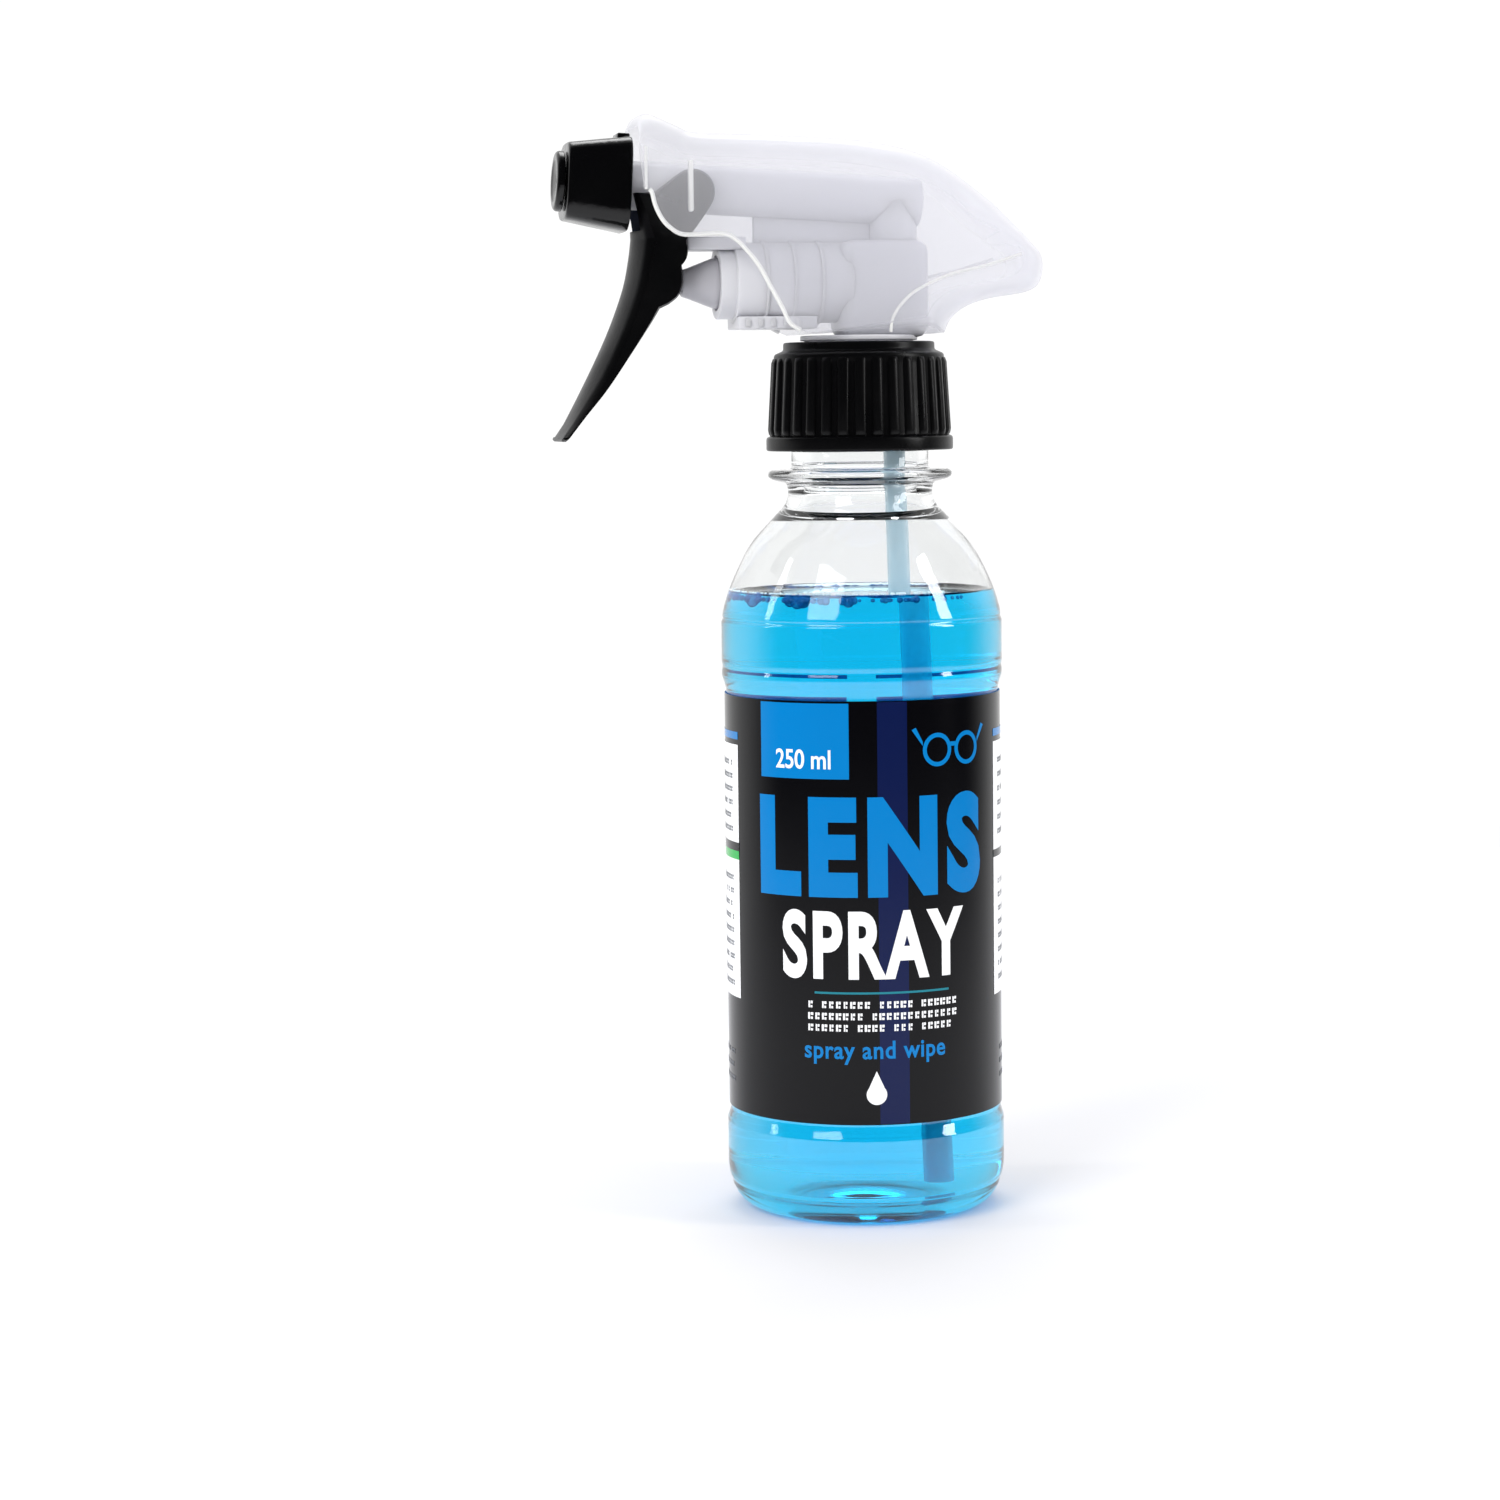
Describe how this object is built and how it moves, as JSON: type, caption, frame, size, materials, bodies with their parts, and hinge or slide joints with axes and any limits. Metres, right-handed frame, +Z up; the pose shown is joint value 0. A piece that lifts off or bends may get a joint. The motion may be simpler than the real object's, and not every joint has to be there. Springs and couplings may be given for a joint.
{
  "type": "lens cleaning spray bottle",
  "caption": "Clear bottle of blue lens cleaner with a wrap label, a ribbed screw cap and a trigger pump under a translucent cover.",
  "frame": {"origin": "centre of the bottle's base pad, level with its standing ring", "axes": "+Z up along the bottle's axis; the nozzle points along -X; Y is across the spray head"},
  "size_m": [0.0923, 0.053, 0.2056],
  "materials": {
    "clear_pet": "clear blow-moulded PET, glossy",
    "label_film": "glossy printed film, black with white side panels",
    "blue_fluid": "clear cyan-blue liquid",
    "black_pp": "black moulded polypropylene, semi-gloss",
    "natural_pp": "undyed moulded polypropylene, satin",
    "frosted_pp": "translucent undyed polypropylene",
    "natural_pe": "translucent extruded polyethylene",
    "soft_white": "soft white elastomer",
    "dark_rubber": "black rubber",
    "spring_steel": "drawn stainless wire",
    "ball_glass": "polished glass"
  },
  "bodies": {
    "bottle_body": {"bottle": "clear_pet", "wrap_label": "label_film", "cleaning_fluid": "blue_fluid"},
    "pump_seat": {"neck_gasket": "soft_white"},
    "cap": {"screw_cap": "black_pp"},
    "head": {"pump_body": "natural_pp", "tube_retainer": "natural_pp", "dip_tube": "natural_pe", "shroud": "frosted_pp", "spin_core": "natural_pp", "outlet_spring": "spring_steel", "return_spring": "spring_steel"},
    "trigger_lever": {"trigger": "black_pp"},
    "piston": {"piston_rod": "natural_pp", "piston_seal": "soft_white"},
    "nozzle": {"nozzle_cap": "black_pp", "orifice_disc": "black_pp", "nozzle_seal": "dark_rubber"},
    "ball_valve": {"inlet_ball": "ball_glass"},
    "spring_valve": {"outlet_valve": "soft_white"}
  },
  "joints": [
    {"name": "pump_lift", "type": "slide", "parent": "bottle_body", "child": "pump_seat", "axis": [0, 0, 1], "range_m": [0, 0.006], "deforming": ["cleaning_fluid"]},
    {"name": "cap_turn", "type": "hinge", "parent": "pump_seat", "child": "cap", "pos_m": [0, 0, 0.153], "axis": [0, 0, 1], "range_deg": [0, 541]},
    {"name": "head_swivel", "type": "hinge", "parent": "pump_seat", "child": "head", "pos_m": [0, 0, 0.16], "axis": [0, 0, 1], "continuous": true, "deforming": ["cleaning_fluid"]},
    {"name": "trigger_pull", "type": "hinge", "parent": "head", "child": "trigger_lever", "pos_m": [-0.0312, 0, 0.1912], "axis": [0, -1, 0], "range_deg": [0, 18], "stiffness_Nm_per_rad": 1.2},
    {"name": "piston_slide", "type": "slide", "parent": "head", "child": "piston", "axis": [1, 0, 0], "range_m": [0, 0.0055], "deforming": ["return_spring"]},
    {"name": "nozzle_turn", "type": "hinge", "parent": "head", "child": "nozzle", "pos_m": [-0.0312, 0, 0.1916], "axis": [-0.9981, 0, 0.061], "continuous": true},
    {"name": "ball_lift", "type": "slide", "parent": "head", "child": "ball_valve", "axis": [0, 0, 1], "range_m": [0, 0.0012]},
    {"name": "valve_lift", "type": "slide", "parent": "head", "child": "spring_valve", "axis": [-0.9981, 0, 0.061], "range_m": [0, 0.0008], "stiffness_N_per_m": 30, "deforming": ["outlet_spring"]}
  ],
  "couplings": [
    {"joint": "cap_turn", "follows": "pump_lift", "rad_per_m": 1570.8},
    {"joint": "piston_slide", "follows": "trigger_pull", "m_per_rad": 0.017}
  ]
}
